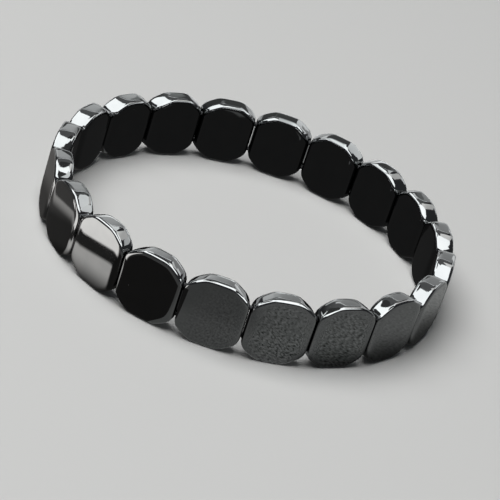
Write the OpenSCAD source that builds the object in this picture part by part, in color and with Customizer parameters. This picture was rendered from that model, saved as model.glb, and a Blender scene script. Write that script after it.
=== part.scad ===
// Stretch bracelet of tile beads: a closed ring of polished stone beads, drilled twice and
// strung edge to edge on two elastic cords.
// The ring lies flat. Its axis is +Z and z = 0 is the plane that the beads rest on.
// In a bead's own frame X points out of the ring, Y along the ring and Z up.

/* [Ring] */
// Number of beads in the ring
bead_count = 20; // [16:1:26]
// Gap between the sides of neighbouring beads
bead_gap = 0.2; // [0.1:0.05:0.4]

/* [Bead] */
// Width of the outer face, along the ring
bead_w = 9.8; // [8:0.1:12]
// Height from the flat bottom to the flat top
bead_h = 10.4; // [9:0.1:13]
// Thickness from the outer face to the inner face
bead_t = 3; // [2.5:0.1:4]
// Height of the straight side edges of the outer face
side_h = 7; // [6:0.1:8]
// Width of the flat middle of the top and bottom, at the outer face
flat_w = 4.2; // [3:0.1:5]
// How much lower the sloping facets lie at the inner face than at the outer face
slope_drop = 0.25; // [0:0.05:0.4]

/* [Edges] */
// Chamfer round the outer face
outer_chamfer = 0.35; // [0.1:0.05:0.5]
// Chamfer round the inner face
inner_chamfer = 0.5; // [0.1:0.05:0.6]

/* [Stringing] */
// Diameter of the elastic cords
cord_d = 0.7; // [0.4:0.1:0.8]
// Diameter of the drilled holes
hole_d = 1.4; // [1.3:0.1:1.6]
// Distance between the two holes of a bead
hole_spacing = 4.6; // [3:0.1:5]

/* [Hidden] */
$fn = 96;
// Turn from one bead to the next
bead_turn = 360 / bead_count;
// Distance from the ring's axis to the outer and inner faces
outer_r = (bead_w + bead_gap) / 2 / tan(bead_turn / 2);
inner_r = outer_r - bead_t;
// The holes run through the middle of the thickness
hole_r = outer_r - bead_t / 2;
// A cord is a circle that bows equally to both sides of each straight hole
cord_r = hole_r / ((1 + cos(bead_turn / 2)) / 2);
// Half widths of the outer and inner faces: the sides point at the ring's axis
half_w_outer = bead_w / 2;
half_w_inner = inner_r * tan(bead_turn / 2) - bead_gap / 2;
// Slope of the facets between the flat middle and the straight sides
slope = atan((bead_h - side_h) / (bead_w - flat_w));
// Distance of the sloping facets from the bead's middle, at the outer and inner faces
slope_reach_outer = half_w_outer * sin(slope) + side_h / 2 * cos(slope);
slope_reach_inner = slope_reach_outer - slope_drop * cos(slope);
// Length that is enough to cut right through a bead
through = 2 * bead_h;

stone_colour = [0.3, 0.31, 0.33];
cord_colour = [0.1, 0.1, 0.1];

function bead_name(i) = str("bead_", i < 10 ? "0" : "", i);

// Cross-section of a bar with chamfered edges, from the inner face to the outer face,
// whose half height runs straight from half_inner to half_outer
module bar_section(half_outer, half_inner) {
    half_at = function (r) half_inner + (half_outer - half_inner) * (r - inner_r) / bead_t;
    outer_edge_r = outer_r - outer_chamfer;
    inner_edge_r = inner_r + inner_chamfer;
    upper = [
        [outer_r, half_outer - outer_chamfer],
        [outer_edge_r, half_at(outer_edge_r)],
        [inner_edge_r, half_at(inner_edge_r)],
        [inner_r, half_inner - inner_chamfer],
    ];
    lower = [for (i = [3:-1:0]) [upper[i].x, -upper[i].y]];
    polygon(concat(upper, lower));
}

// Bar along the ring that leaves a pair of opposite facets, turned about the bead's middle
module facet_bar(half_outer, half_inner, turn) {
    rotate([90 + turn, 0, 0])
        linear_extrude(through, center = true)
            bar_section(half_outer, half_inner);
}

// Upright bar that leaves the two sides, tapered towards the ring's axis
module side_bar() {
    linear_extrude(through, center = true)
        bar_section(half_w_outer, half_w_inner);
}

module drilled_hole(side) {
    translate([hole_r, 0, side * hole_spacing / 2])
        rotate([90, 0, 0])
            cylinder(h = through, d = hole_d, center = true);
}

module bead(i) {
    color(stone_colour)
        rotate([0, 0, (i - 1) * bead_turn])
            translate([0, 0, bead_h / 2])
                difference() {
                    intersection() {
                        side_bar();
                        facet_bar(bead_h / 2, bead_h / 2, 0);
                        facet_bar(slope_reach_outer, slope_reach_inner, slope);
                        facet_bar(slope_reach_outer, slope_reach_inner, -slope);
                    }
                    drilled_hole(1);
                    drilled_hole(-1);
                }
}

module elastic_cord(side) {
    color(cord_colour)
        translate([0, 0, bead_h / 2 + side * hole_spacing / 2])
            rotate_extrude()
                translate([cord_r, 0])
                    circle(d = cord_d);
}

for (i = [1:bead_count]) {
    bead(i);
}
elastic_cord(1);  // elastic_cord_upper
elastic_cord(-1);  // elastic_cord_lower
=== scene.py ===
from math import atan2, cos, pi, radians, sin, tan

import bmesh
import bpy
from mathutils import Matrix, Vector


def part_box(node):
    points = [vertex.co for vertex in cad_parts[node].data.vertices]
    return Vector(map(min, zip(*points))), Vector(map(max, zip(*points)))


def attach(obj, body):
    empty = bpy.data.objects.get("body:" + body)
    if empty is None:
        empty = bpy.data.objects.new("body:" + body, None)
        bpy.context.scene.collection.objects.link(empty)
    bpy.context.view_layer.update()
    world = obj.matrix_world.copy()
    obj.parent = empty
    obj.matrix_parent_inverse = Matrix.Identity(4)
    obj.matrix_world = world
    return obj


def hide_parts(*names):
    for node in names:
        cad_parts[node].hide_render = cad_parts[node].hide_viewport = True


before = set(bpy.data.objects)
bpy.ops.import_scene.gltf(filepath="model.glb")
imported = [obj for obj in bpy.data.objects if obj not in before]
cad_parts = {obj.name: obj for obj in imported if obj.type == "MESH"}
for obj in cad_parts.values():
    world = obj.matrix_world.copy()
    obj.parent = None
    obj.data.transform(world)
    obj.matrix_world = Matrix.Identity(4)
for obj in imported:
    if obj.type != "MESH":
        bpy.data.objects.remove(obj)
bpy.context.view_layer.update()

# Sizes of the ring and its tiles, in metres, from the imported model
mm = 0.001
bead_names = sorted(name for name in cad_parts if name.startswith("bead_"))
cord_names = ["elastic_cord_upper", "elastic_cord_lower"]
bead_turn = 2 * pi / len(bead_names)
bead_low, bead_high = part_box(bead_names[0])
inner_r = bead_low.x
outer_r = bead_high.x
bead_t = outer_r - inner_r
half_w = bead_high.y
half_h = bead_high.z / 2
bead_gap = 2 * (outer_r * tan(bead_turn / 2) - half_w)

# Form of a tile: half the height of its straight sides, half the width of its flat top at the
# outer face, and how much narrower each half of the flat top is at the inner face
side_half = 3.5 * mm
flat_half = 2.1 * mm
ridge_shift = 0.41 * mm

# Holes that are drilled for the cords
hole_d = 1.4 * mm
hole_spacing = 4.6 * mm
drill_sides = 24

# Softness of a tile's edges: how far from an edge its rounding starts
outer_soft = 0.85 * mm
inner_soft = 1.5 * mm
rim_soft = 0.9 * mm
ridge_soft = 1.05 * mm
corner_soft = 1.9 * mm

# How far the ridges are worn down, and how far the polished faces stand proud in their middles
ridge_wear = 0.09 * mm
rim_crown = 0.05 * mm
face_crown = 0.03 * mm
side_crown = 0.09 * mm

# How far from an edge its polish is worn
wear_reach = 0.5 * mm

# How often a tile is smoothed, and the turn between two of its faces from which the edge
# between them stays sharp
smoothing_levels = 3
sharp_turn = radians(50)

# Distance below which two places are the same
tiny = 0.001 * mm

# Levels of the studio cards over the floor, in millimetres. Where cards cross, they lie one or
# more layers apart.
high_level = 300
lamp_level = 150
upper_level = 75
middle_level = 36
near_level = 22
rim_level = 12
layer = 1
floor_layer = 0.05

# Tints of the studio's cards and its faint even light. Their strength makes them light or dark.
softbox_tint = (0.98, 1, 1)
cool_tint = (0.97, 1, 1)
warm_tint = (1, 0.99, 0.97)
flag_tint = (0.96, 1, 0.99)
floor_tint = (0.98, 1, 0.98)
left_reflection_tint = (1, 0.97, 0.94)
neutral_tint = (1, 1, 1)
room_tint = (0.9, 0.95, 1)

# Strength of the softboxes that show as pure white, and of what shows as nearly black
full_strength = 5.3
flag_strength = 0.15
dark_strength = 0.04


class Value:
    """What a node of a material gives. Where it is a number, plain arithmetic works on it."""

    def __init__(self, tree, socket):
        self.tree = tree
        self.socket = socket

    def _math(self, operation, first, second):
        node = self.tree.nodes.new("ShaderNodeMath")
        node.operation = operation
        for slot, term in zip(node.inputs, (first, second)):
            if isinstance(term, Value):
                self.tree.links.new(term.socket, slot)
            else:
                slot.default_value = term
        return Value(self.tree, node.outputs[0])

    def __add__(self, other):
        return self._math("ADD", self, other)

    def __radd__(self, other):
        return self._math("ADD", other, self)

    def __sub__(self, other):
        return self._math("SUBTRACT", self, other)

    def __rsub__(self, other):
        return self._math("SUBTRACT", other, self)

    def __mul__(self, other):
        return self._math("MULTIPLY", self, other)

    def __rmul__(self, other):
        return self._math("MULTIPLY", other, self)

    def __truediv__(self, other):
        return self._math("DIVIDE", self, other)


class Finish:
    """A material under construction."""

    def __init__(self, name):
        self.material = bpy.data.materials.new(name)
        self.material.use_nodes = True
        self.tree = self.material.node_tree
        self.tree.nodes.clear()

    def add(self, kind, settings, sockets, output=0):
        """Adds a node, sets its settings and then its sockets, and gives one of its outputs."""
        node = self.tree.nodes.new(kind)
        for name, setting in settings.items():
            setattr(node, name, setting)
        for name, term in sockets.items():
            if isinstance(term, Value):
                self.tree.links.new(term.socket, node.inputs[name])
            else:
                node.inputs[name].default_value = term
        return Value(self.tree, node.outputs[output]) if node.outputs else None

    def place(self):
        """Where a point of the object lies, in metres."""
        return self.add("ShaderNodeTexCoord", {}, {}, "Object")

    def along(self, axis):
        """How far along the axis a point lies, in millimetres."""
        return self.add("ShaderNodeSeparateXYZ", {}, {"Vector": self.place()}, axis) / mm

    def from_middle(self):
        """How far from the middle of the ring's foot a point lies, in millimetres."""
        return self.add(
            "ShaderNodeVectorMath", {"operation": "LENGTH"}, {0: self.place()}, "Value"
        ) / mm

    def noise(self, place, scale, detail):
        """Noise between 0 and 1. The scale is per metre, unless the place is scaled already."""
        return self.add(
            "ShaderNodeTexNoise", {}, {"Vector": place, "Scale": scale, "Detail": detail}, "Fac"
        )

    def drawn_noise(self, place, scales, detail):
        """Noise that is drawn out along the axes whose scales, per metre, are small."""
        drawn = self.add("ShaderNodeMapping", {}, {"Vector": place, "Scale": scales})
        return self.noise(drawn, 1, detail)

    def pits(self, place, scale, reach):
        """1 in small round pits, which lie only here and there."""
        cell = self.add("ShaderNodeTexVoronoi", {}, {"Vector": place, "Scale": scale}, "Distance")
        here_and_there = self.fade(self.noise(place, scale / 3, 1), 0.6, 0.64)
        return here_and_there * self.fade(cell, reach, reach / 2)

    def scratches(self, place, scales):
        """1 in hairlines along the axis whose scale is smallest."""
        return self.fade(self.drawn_noise(place, scales, 0), 0.68, 0.72)

    def mix(self, amount, first, second):
        """Mix of two colours, which are inputs 6 and 7 and output 2 of a Mix node."""
        return self.add(
            "ShaderNodeMix", {"data_type": "RGBA"}, {"Factor": amount, 6: first, 7: second}, 2
        )

    def fade(self, amount, start, end):
        """Soft step from 0, where the amount is start, to 1, where it is end."""
        return self.add(
            "ShaderNodeMapRange", {"interpolation_type": "SMOOTHSTEP"},
            {"Value": amount, "From Min": start, "From Max": end},
        )

    def bump(self, height, strength, depth):
        """Normal of a surface whose relief is the height times the depth, in metres."""
        return self.add(
            "ShaderNodeBump", {}, {"Height": height, "Strength": strength, "Distance": depth}
        )

    def glow(self, tint, strength):
        """Ends the material as a light of that tint and strength."""
        light = self.add("ShaderNodeEmission", {}, {"Color": (*tint, 1), "Strength": strength})
        return self.finish(light)

    def finish(self, surface):
        """Ends the material with its surface."""
        self.add("ShaderNodeOutputMaterial", {}, {"Surface": surface})
        return self.material


def polished_stone():
    """Dark metallic stone with a mirror polish.

    It has faint waves, clouds in its tone, fine grain, hairline scratches, a few pits, smudges
    and edges whose polish is worn.
    """
    dark_stone = (0.15, 0.155, 0.158, 1)
    light_stone = (0.19, 0.193, 0.193, 1)
    worn_stone = (0.25, 0.253, 0.253, 1)
    pit_floor = (0.03, 0.03, 0.03, 1)
    relief = 0.01 * mm

    stone = Finish("polished_stone")
    place = stone.place()
    wear = stone.add("ShaderNodeAttribute", {"attribute_name": "wear"}, {}, "Fac")
    waves = stone.noise(place, 140, 1)
    grain = stone.noise(place, 3500, 3)
    clouds = stone.noise(place, 420, 4)
    smudges = stone.fade(stone.noise(place, 260, 3), 0.52, 0.66)
    pits = stone.pits(place, 620, 0.045)
    scratches = stone.scratches(place, (40, 900, 5200)) + stone.scratches(place, (5600, 60, 800))

    fresh = stone.mix(clouds, dark_stone, light_stone)
    worn = stone.mix(0.6 * wear, fresh, worn_stone)
    colour = stone.mix(pits, worn, pit_floor)
    roughness = 0.03 + 0.03 * grain + 0.02 * smudges + 0.03 * wear + 0.4 * pits
    height = 0.9 * waves + 0.01 * grain - 0.02 * scratches - 2 * pits
    surface = stone.add(
        "ShaderNodeBsdfPrincipled", {},
        {
            "Base Color": colour, "Metallic": 1, "Roughness": roughness,
            "Normal": stone.bump(height, 1, relief),
        },
    )
    return stone.finish(surface)


def elastic():
    """Dark stretch cord with fine twisted fibres."""
    cord_black = (0.02, 0.02, 0.022, 1)
    relief = 0.05 * mm

    cord = Finish("elastic")
    fibres = cord.noise(cord.place(), 6000, 2)
    surface = cord.add(
        "ShaderNodeBsdfPrincipled", {},
        {
            "Base Color": cord_black, "Roughness": 0.55 + fibres * 0.2,
            "Normal": cord.bump(fibres, 0.6, relief),
        },
    )
    return cord.finish(surface)


def pick(piece, test):
    """Selects the points of the piece being edited whose places pass the test."""
    bpy.ops.mesh.select_all(action="DESELECT")
    mesh = bmesh.from_edit_mesh(piece.data)
    for point in mesh.verts:
        point.select = test(point.co)
    mesh.select_flush_mode()
    bmesh.update_edit_mesh(piece.data)


def cut(place, normal):
    """Cuts an edge loop round the piece being edited."""
    bpy.ops.mesh.select_all(action="SELECT")
    bpy.ops.mesh.bisect(plane_co=place, plane_no=normal, threshold=tiny)


def apply_modifier(piece, kind, **settings):
    """Adds a modifier with its settings to the piece and applies it."""
    modifier = piece.modifiers.new(kind.lower(), kind)
    for name, setting in settings.items():
        setattr(modifier, name, setting)
    bpy.context.view_layer.objects.active = piece
    bpy.ops.object.modifier_apply(modifier=modifier.name)


def tile_point(depth, column, row):
    """Where a point of the plain block belongs on the tile: how far out, along and up.

    Depth is measured from the outer face, column and row from the tile's middle.
    """
    # Outline at this depth: the ridge beside the flat top, the side, and the edge between them
    share = depth / bead_t
    ridge_y = flat_half - ridge_shift * share
    side_y = (outer_r - depth) * tan(bead_turn / 2) - bead_gap / 2
    slope_share = max(0, (column - flat_half) / (half_w - flat_half))
    top = half_h - rim_crown * (2 * share - 1) ** 2
    edge = top + (side_half - top) * slope_share - (ridge_wear if column == flat_half else 0)

    # Rows follow the edge, and the last one keeps the distance from it that its softness needs
    last_row = half_h - rim_soft
    soft = rim_soft + (corner_soft - rim_soft) * slope_share
    up = min(row, last_row) * (edge - soft) / last_row + max(0, row - last_row) * soft / rim_soft

    # Crowns, which die out towards the edges
    off_side = 1 - (column / half_w) ** 2
    off_rim = 1 - (row / half_h) ** 2
    off_corner = 1 - (up / half_h) ** 4
    off_faces = 1 - (2 * share - 1) ** 2
    out = outer_r - depth + face_crown * (1 - 2 * share) * off_side * off_rim
    along = min(column, flat_half) * ridge_y / flat_half + (side_y - ridge_y) * slope_share
    along += side_crown * (1 - off_side) * off_corner * off_faces
    return out, along, up


def tile_cage():
    """Block with the outline of a tile, ready to be smoothed."""
    bpy.ops.object.select_all(action="DESELECT")
    bpy.ops.mesh.primitive_cube_add(
        size=1, location=(outer_r - bead_t / 2, 0, half_h), scale=(bead_t, 2 * half_w, 2 * half_h)
    )
    bpy.ops.object.transform_apply(location=True, rotation=True, scale=True)
    cage = bpy.context.object
    depths = [0, outer_soft, bead_t - inner_soft, bead_t]
    columns = [0, flat_half - ridge_soft, flat_half, half_w - corner_soft, half_w]
    rows = [0, half_h - 2 * rim_soft, half_h - rim_soft, half_h]

    # Cuts where the points of the tile are needed
    bpy.ops.object.mode_set(mode="EDIT")
    for depth in depths[1:-1]:
        cut((outer_r - depth, 0, 0), (1, 0, 0))
    cut((0, 0, 0), (0, 1, 0))
    cut((0, 0, half_h), (0, 0, 1))
    for side in (-1, 1):
        for column in columns[1:-1]:
            cut((0, side * column, 0), (0, 1, 0))
        for row in rows[1:-1]:
            cut((0, 0, half_h + side * row), (0, 0, 1))

    # Each point on the block's surface goes to its place, with those that mirror it
    for depth in depths:
        for column in columns:
            for row in rows:
                if column < half_w and row < half_h and 0 < depth < bead_t:
                    continue
                place = Vector((outer_r - depth, column, row))
                out, along, up = tile_point(depth, column, row)
                pick(
                    cage,
                    lambda at: (Vector((at.x, abs(at.y), abs(at.z - half_h))) - place).length < tiny,
                )
                bpy.ops.transform.resize(
                    value=(out / place.x, along / column if column else 1, up / row if row else 1),
                    center_override=(0, 0, half_h),
                )
    bpy.ops.object.mode_set(mode="OBJECT")
    return cage


def drill(tile):
    """Two holes through the sides of the tile, for the cords."""
    for side in (-1, 1):
        bpy.ops.object.select_all(action="DESELECT")
        bpy.ops.mesh.primitive_cylinder_add(
            vertices=drill_sides, radius=hole_d / 2, depth=4 * half_w, rotation=(pi / 2, 0, 0),
            location=((outer_r + inner_r) / 2, 0, half_h + side * hole_spacing / 2),
        )
        bit = bpy.context.object
        apply_modifier(tile, "BOOLEAN", object=bit, operation="DIFFERENCE", solver="EXACT")
        bpy.data.objects.remove(bit)


def mark_wear(tile):
    """Gives each point of the tile how worn its polish is, from its distance to the nearest edge."""
    slope = atan2(half_h - side_half, half_w - flat_half)
    slope_reach = flat_half * sin(slope) + half_h * cos(slope)
    wear = tile.data.attributes.new("wear", "FLOAT", "POINT")
    for point, mark in zip(tile.data.vertices, wear.data):
        out, along, up = point.co.x, abs(point.co.y), abs(point.co.z - half_h)
        to_face = min(outer_r - out, out - inner_r)
        to_side = out * tan(bead_turn / 2) - bead_gap / 2 - along
        to_slope = slope_reach - along * sin(slope) - up * cos(slope)
        to_rim = min(half_h - up, to_side, to_slope)
        mark.value = max(0, 1 - max(to_face, to_rim) / wear_reach)


def polished_tile(finish):
    """The first tile of the ring, smoothed, drilled and polished."""
    tile = tile_cage()
    apply_modifier(tile, "SUBSURF", levels=smoothing_levels, render_levels=smoothing_levels)
    drill(tile)
    mark_wear(tile)
    bpy.ops.object.select_all(action="DESELECT")
    tile.select_set(True)
    bpy.context.view_layer.objects.active = tile
    bpy.ops.object.shade_smooth_by_angle(angle=sharp_turn)
    tile.data.materials.append(finish)
    return tile


def string_of_tiles(finish):
    """Copies of a polished tile round the ring, in place of the plain beads."""
    tile = polished_tile(finish)
    for index, bead_name in enumerate(bead_names):
        copy = tile.copy()
        copy.data = tile.data.copy()
        copy.name = bead_name.replace("bead", "tile")
        copy.data.transform(Matrix.Rotation(index * bead_turn, 4, "Z"))
        bpy.context.scene.collection.objects.link(copy)
        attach(copy, "root")
        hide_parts(bead_name)
    bpy.data.objects.remove(tile)


def elastic_cords(finish):
    """Gives both cords their finish. They keep their own shapes."""
    for cord_name in cord_names:
        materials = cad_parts[cord_name].data.materials
        materials.clear()
        materials.append(finish)


def camera():
    """Camera of the photograph: its place, tilt and long lens."""
    azimuth = radians(-88.80)
    elevation = radians(27.33)
    roll = radians(18.41)
    distance = 309.4 * mm
    aim = Vector((1.76, -8.96, 5.2)) * mm
    back = Vector((cos(elevation) * cos(azimuth), cos(elevation) * sin(azimuth), sin(elevation)))
    lens = bpy.data.cameras.new("camera")
    lens.lens = 150
    lens.sensor_width = 36
    lens.clip_start = 10 * mm
    lens.clip_end = 20
    eye = bpy.data.objects.new("camera", lens)
    turn = back.to_track_quat("Z", "Y").to_matrix() @ Matrix.Rotation(roll, 3, "Z")
    eye.matrix_world = Matrix.Translation(aim + back * distance) @ turn.to_4x4()
    bpy.context.scene.collection.objects.link(eye)
    bpy.context.scene.camera = eye


def floor():
    """Plain pale floor. In the polish, cards stand for it."""
    floor_width = 6
    pale_grey = (0.55, 0.55, 0.54, 1)
    paint = Finish("floor_paint")
    surface = paint.add(
        "ShaderNodeBsdfPrincipled", {},
        {"Base Color": pale_grey, "Roughness": 0.9, "Specular IOR Level": 0},
    )
    bpy.ops.object.select_all(action="DESELECT")
    bpy.ops.mesh.primitive_plane_add(size=floor_width, location=(0, 0, 0))
    ground = bpy.context.object
    ground.name = "floor"
    ground.data.materials.append(paint.finish(surface))
    ground.visible_glossy = False


def overhead_light():
    """Large soft light over the ring. In the polish, cards stand for it."""
    place = Vector((-0.3, -0.1, 0.9))
    lamp = bpy.data.lights.new("overhead_light", "AREA")
    lamp.shape = "RECTANGLE"
    lamp.size = 1
    lamp.size_y = 0.8
    lamp.energy = 12
    box = bpy.data.objects.new("overhead_light", lamp)
    box.location = place
    box.rotation_euler = place.to_track_quat("Z", "Y").to_euler()
    box.visible_glossy = False
    bpy.context.scene.collection.objects.link(box)


def room():
    """Faint even light from all sides, and plain colours."""
    world = bpy.data.worlds.new("studio")
    world.use_nodes = True
    background = world.node_tree.nodes["Background"].inputs
    background["Color"].default_value = (*room_tint, 1)
    background["Strength"].default_value = 0.1
    bpy.context.scene.world = world
    bpy.context.scene.view_settings.view_transform = "Standard"


def board(name, corners, finish):
    """Flat studio card that shows only in the polish of the stone."""
    sheet = bpy.data.meshes.new(name)
    sheet.from_pydata(corners, [], [range(len(corners))])
    sheet.materials.append(finish)
    panel = bpy.data.objects.new(name, sheet)
    bpy.context.scene.collection.objects.link(panel)
    panel.visible_camera = False
    panel.visible_diffuse = False
    panel.visible_shadow = False


def card(name, level, corners, finish):
    """Level card. Its level and the x and y of its corners are in millimetres."""
    board(name, [(x * mm, y * mm, level * mm) for x, y in corners], finish)


def plain_glow(name, tint, strength):
    """Even light of a studio card."""
    return Finish(name).glow(tint, strength)


def softbox(name, level, strength, corners):
    """Level card with an even white light."""
    card(name, level, corners, plain_glow(name, softbox_tint, strength))


def right_glow():
    """Softbox on the right, dimmer towards its far end."""
    paint = Finish("right_glow")
    x = paint.along("X")
    return paint.glow(warm_tint, 3 - 1.1 * paint.fade(x, 52, 88))


def large_softboxes():
    """Softboxes high over the ring."""
    softbox(
        "left_softbox", high_level, full_strength,
        [(-620, 150), (-308, 222), (-225, 226), (-167, 122), (-115, 68), (-63, 42), (-15, 20),
         (10, 20), (10, -300), (-400, -300), (-340, -20)],
    )
    softbox(
        "main_softbox", lamp_level, full_strength,
        [(-10, 12), (0, 12), (14, 24), (60, 30), (68, 26), (70, -20), (80, -40), (80, -150),
         (-10, -150)],
    )
    card(
        "right_softbox", lamp_level - layer,
        [(28, 26), (66, 26), (98, 62), (124, 118), (140, 160), (85, 165), (80, 125), (60, 100),
         (25, 75)],
        right_glow(),
    )
    softbox("low_right_softbox", high_level, 2.4, [(140, 380), (400, 380), (430, 440), (140, 440)])
    softbox(
        "far_right_softbox", high_level, 2.1,
        [(120, 600), (420, 790), (900, 1500), (600, 1500), (200, 950)],
    )
    softbox(
        "side_softbox", lamp_level, 2.4,
        [(124, 118), (180, 120), (240, 200), (240, 290), (150, 230), (140, 160)],
    )


def inside_glow():
    """Light close above the inside of the ring, which the inner edges of the tiles at the back see."""
    paint = Finish("inside_glow")
    x, y = paint.along("X"), paint.along("Y")
    near_middle = paint.fade(y, 42.5, 34.5) * (0.55 + 0.45 * paint.fade(x, -1, 5))
    return paint.glow(cool_tint, 0.7 + 3.2 * near_middle + 1.3 * paint.fade(x, 10.5, 11.5))


def small_softboxes():
    """Softboxes close over the ring, for the light lines and patches on the tiles' edges."""
    card(
        "inside_softbox", near_level,
        [(-4.5, 8), (5, 8), (9, 24), (17, 25), (15.5, 31), (13.2, 33.5), (13, 43), (-4.5, 43)],
        inside_glow(),
    )
    softbox(
        "small_softbox_1", near_level, 2.3,
        [(18.3, 27.5), (20.5, 28), (21.5, 33), (21.5, 41), (18.8, 41)],
    )
    softbox(
        "small_softbox_2", near_level, 3.1,
        [(-21.8, -10.5), (-19, -21), (-15, -21), (-12.8, -19), (-12.8, -12), (-15, -9),
         (-18.5, -10)],
    )
    softbox(
        "front_softbox", near_level, full_strength, [(12, -48), (36, -48), (36, -24), (18, -24)]
    )


def flag_glow():
    """Dark flag behind the ring, which the rims of the tiles at the back see."""
    paint = Finish("flag_glow")
    x = paint.along("X")
    return paint.glow(flag_tint, 0.17 + 0.4 * paint.fade(x, -16, -23) + 0.22 * paint.fade(x, 20, 25))


def flags(dark):
    """Dark cards over the ring, for the dark stretches on the tiles' tops and slopes."""
    card("back_flag", middle_level, [(-28, 57), (28, 57), (28, 121), (-28, 121)], flag_glow())
    card("left_flag", middle_level, [(-64, 56), (-42, 56), (-42, 72), (-40, 140), (-64, 140)], dark)
    card(
        "corner_flag", middle_level,
        [(-25.5, -13), (-25.5, -28), (-22, -26), (-8, -38), (-2, -34), (-8, -20), (-14, -14.5),
         (-20, -13.5)],
        dark,
    )
    card(
        "near_flag", near_level,
        [(-28, -5.3), (-28, -8.5), (-26.3, -10.8), (-24.6, -10.4), (-23.2, -8.3), (-23.2, -4.8)],
        dark,
    )
    card("high_flag", upper_level, [(-26, 3), (-12, 3), (-4, 6), (-3, 20), (-22, 24)], dark)


def rim_cards(dark):
    """Small dark and white cards just above the tiles, for the fine lines on their edges."""
    card(
        "back_rim_flag", rim_level,
        [(-3.2, 33), (-3.2, 42), (-8, 50), (-17, 52), (-22, 40), (-20.5, 32), (-18.5, 30.2),
         (-16, 29.6), (-12.5, 29.6), (-11.5, 31.5), (-8, 33)],
        dark,
    )
    card(
        "front_rim_flag_1", rim_level,
        [(17.2, -27.9), (17, -26.2), (15.2, -25), (13, -24.2), (11.4, -25.5), (13.6, -28.4),
         (15, -28.3)],
        dark,
    )
    card(
        "front_rim_flag_2", rim_level,
        [(15, -18.8), (18.5, -18.2), (20.5, -17), (20, -14.5), (14, -16)],
        dark,
    )
    card(
        "front_rim_flag_3", rim_level,
        [(23.5, -21.6), (24.6, -22.3), (25.3, -21), (24.2, -19.8), (23, -20.5)],
        dark,
    )
    card(
        "left_rim_flag", rim_level - layer,
        [(-28.7, -2.6), (-29.4, -4.4), (-29.6, -6.8), (-28.4, -7.6), (-26.5, -7.2), (-25, -5),
         (-26, -2.6)],
        dark,
    )
    softbox(
        "rim_softbox_1", rim_level, 2.45,
        [(11.6, 28), (14.8, 28.3), (16, 29.5), (19.5, 30.6), (22, 31), (22, 39), (14.5, 36),
         (11.6, 34)],
    )
    softbox(
        "rim_softbox_2", rim_level, 2.2,
        [(2.4, 30.5), (4.6, 30.3), (5.4, 32), (5, 34.5), (4.8, 39), (2.8, 39), (2.2, 34)],
    )
    softbox(
        "rim_softbox_3", rim_level - layer, 2.95,
        [(-21.6, -21.6), (-20.9, -19.6), (-19.6, -18.2), (-19.2, -17), (-13.5, -16.5),
         (-13.5, -20.2), (-18, -21.2), (-20.2, -21.9)],
    )
    softbox(
        "rim_softbox_4", rim_level - layer, 1.85,
        [(-13.6, -25.5), (-11.4, -25.9), (-10.5, -24.2), (-11, -22.8), (-13.2, -23.8)],
    )


def back_glow():
    """Light at the back, brighter to the left."""
    paint = Finish("back_glow")
    x = paint.along("X")
    strength = 0.8 + 0.55 * paint.fade(x, 60, -110) + 0.35 * paint.fade(x, -150, -300)
    return paint.glow(softbox_tint, strength)


def fill_glow():
    """Dim light between the softboxes and the back, dying out to the left."""
    paint = Finish("fill_glow")
    x = paint.along("X")
    return paint.glow(cool_tint, 0.12 + 0.25 * paint.fade(x, -380, -160))


def far_cards():
    """Cards high behind the ring, and an upright one far behind it."""
    softbox(
        "light_strip", high_level - layer, 2.5,
        [(-170, 290), (-141, 330), (-42, 410), (100, 408), (100, 383), (-30, 385), (-125, 305)],
    )
    card(
        "back_card", high_level + layer,
        [(-560, 860), (-380, 440), (-200, 400), (420, 450), (800, 1100), (-400, 1100)],
        back_glow(),
    )
    card(
        "fill_card", high_level + 2 * layer,
        [(-420, 500), (-420, 200), (-300, 20), (60, 20), (90, 330), (90, 500)],
        fill_glow(),
    )

    # The upright card, whose places are in metres
    left, right, far, top = -1.5, 1.7, 1.4, 0.38
    board(
        "back_wall", [(left, far, 0), (right, far, 0), (right, far, top), (left, far, top)],
        plain_glow("back_wall", softbox_tint, 0.9),
    )


def floor_glow():
    """Painted reflection of the floor in the polish: darker in a painted shade of the ring, grainy on
    the right.
    """
    paint = Finish("floor_glow")
    x, y, reach = paint.along("X"), paint.along("Y"), paint.from_middle()
    # Painted shade in the polish: deep near the ring's foot on the right, and a little darker far from
    # the ring on the left
    foot_depth = 0.1 * paint.fade(x, -4, 6) + 0.7 * paint.fade(x, 12, 16)
    foot_shade = 1 - foot_depth * paint.fade(reach, 37, 31)
    side_shade = 1 - 0.65 * paint.fade(x, 8, 26) * paint.fade(reach, 40, 31)
    far_shade = 1 - 0.22 * paint.fade(x, 22, 10) * paint.fade(reach, 37, 43)
    grain = paint.drawn_noise(paint.place(), (3200, 1900, 1), 1) - 0.5
    roughness = (0.1 + 1.5 * paint.fade(x, -8, 20)) * (0.3 + 0.7 * paint.fade(y, -14, -26))
    bare = 0.26 + 0.1 * paint.fade(x, 0, 16) + roughness * grain
    return paint.glow(floor_tint, foot_shade * side_shade * far_shade * bare)


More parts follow.
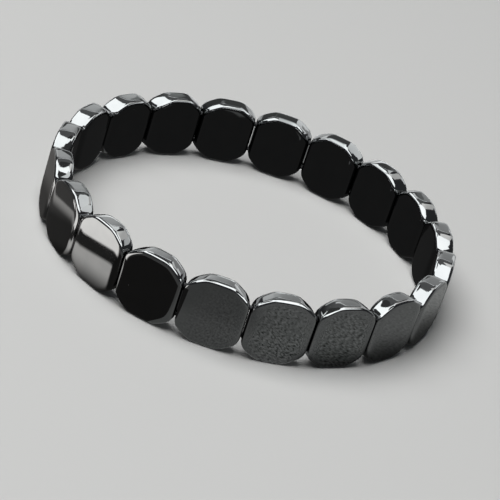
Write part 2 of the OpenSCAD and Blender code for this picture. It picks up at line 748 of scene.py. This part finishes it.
def left_painted_reflection():
    """Painted reflection to the left of the ring: dark, with two painted light patches and thin
    painted light lines.
    """
    paint = Finish("left_painted_reflection")
    x, y = paint.along("X"), paint.along("Y")

    # Two painted light patches in front, which a dark band parts
    in_front = paint.fade(y, -21.7, -22.3)
    across = 0.78 * x + 0.625 * y
    beyond = paint.fade(across, -41.8, -42.6)
    far_patch = beyond * paint.fade(y - x, -12, -4) + (1 - beyond) * paint.fade(x, -34.2, -34.9)
    near_edge = paint.fade(across, -39, -37.8) * paint.fade(x, -30.6, -29.4)
    near_patch = near_edge * paint.fade(y, -20.7, -21.3) * paint.fade(x + y, -43, -52)
    near_patch = near_patch * paint.fade(y - 0.35 * x, -22.8, -21.8)

    # Painted thin light lines and a painted bright corner behind them
    tilted = x + 0.35 * y
    line = paint.fade(tilted, -43.2, -42.6) * paint.fade(tilted, -39.9, -42.4)
    side_line = paint.fade(y, -20.3, -20.9) * paint.fade(x, -38.2, -37) * paint.fade(x, -32, -33)
    corner = paint.fade(y, -13.6, -14.4) * paint.fade(y, -17.5, -16.5)
    corner = corner * paint.fade(x, -40.5, -42) * paint.fade(x, -50, -49)
    lines = 0.7 * line + 0.6 * side_line + 3.6 * corner

    # Dark painted reflection, a little lighter further to the left
    bare = 0.035 + 0.035 * paint.fade(x, -25, -28) + 0.09 * paint.fade(x, -33, -36.5)
    strength = bare + 3.3 * in_front * far_patch + 1.58 * near_patch + (1 - in_front) * lines
    return paint.glow(left_reflection_tint, strength)


def arc(radius, start, stop, step=10):
    """Points on a circle about the ring's axis, with its radius in millimetres.

    They lie a step apart, from start to just before stop, all in degrees.
    """
    turns = [radians(turn) for turn in range(start, stop, step)]
    return [(radius * cos(turn), radius * sin(turn)) for turn in turns]


def floor_cards():
    """Level cards just above the floor, which stand for it in the polish, from the lowest up."""
    softbox(
        "back_floor", 2 * floor_layer, 1, [(-1500, 60), (1500, 60), (1500, 3000), (-1500, 3000)]
    )
    card(
        "floor_card", 3 * floor_layer, [(-200, -200), (200, -200), (200, 60), (-200, 60)],
        floor_glow(),
    )
    card(
        "left_card", 4 * floor_layer,
        [(-200, -200), (-30, -46), (-8.3, -46), (-8.3, -25), (-26, 0), (-26, 60), (-200, 60)],
        left_painted_reflection(),
    )

    # Painted shade on the floor under the tiles at the back, and inside the ring, as the polish shows
    # it
    dark = plain_glow("painted_shade_card", neutral_tint, dark_strength)
    back_foot = arc(28, 20, 160) + list(reversed(arc(34, 20, 160)))
    card("back_foot_painted_shade", 5 * floor_layer, back_foot, dark)
    card("inside_painted_shade", 6 * floor_layer, arc(28.6, 0, 360), dark)
    # Faint painted light streak on the floor inside the ring, seen only in the polish
    softbox("inside_band", 7 * floor_layer, 0.25, [(2.2, 6.5), (5.2, 6.5), (5.2, 11), (3.4, 11)])


camera()
room()
floor()
overhead_light()
large_softboxes()
small_softboxes()
flag_finish = plain_glow("dim_flag", flag_tint, flag_strength)
flags(flag_finish)
rim_cards(flag_finish)
far_cards()
floor_cards()
string_of_tiles(polished_stone())
elastic_cords(elastic())
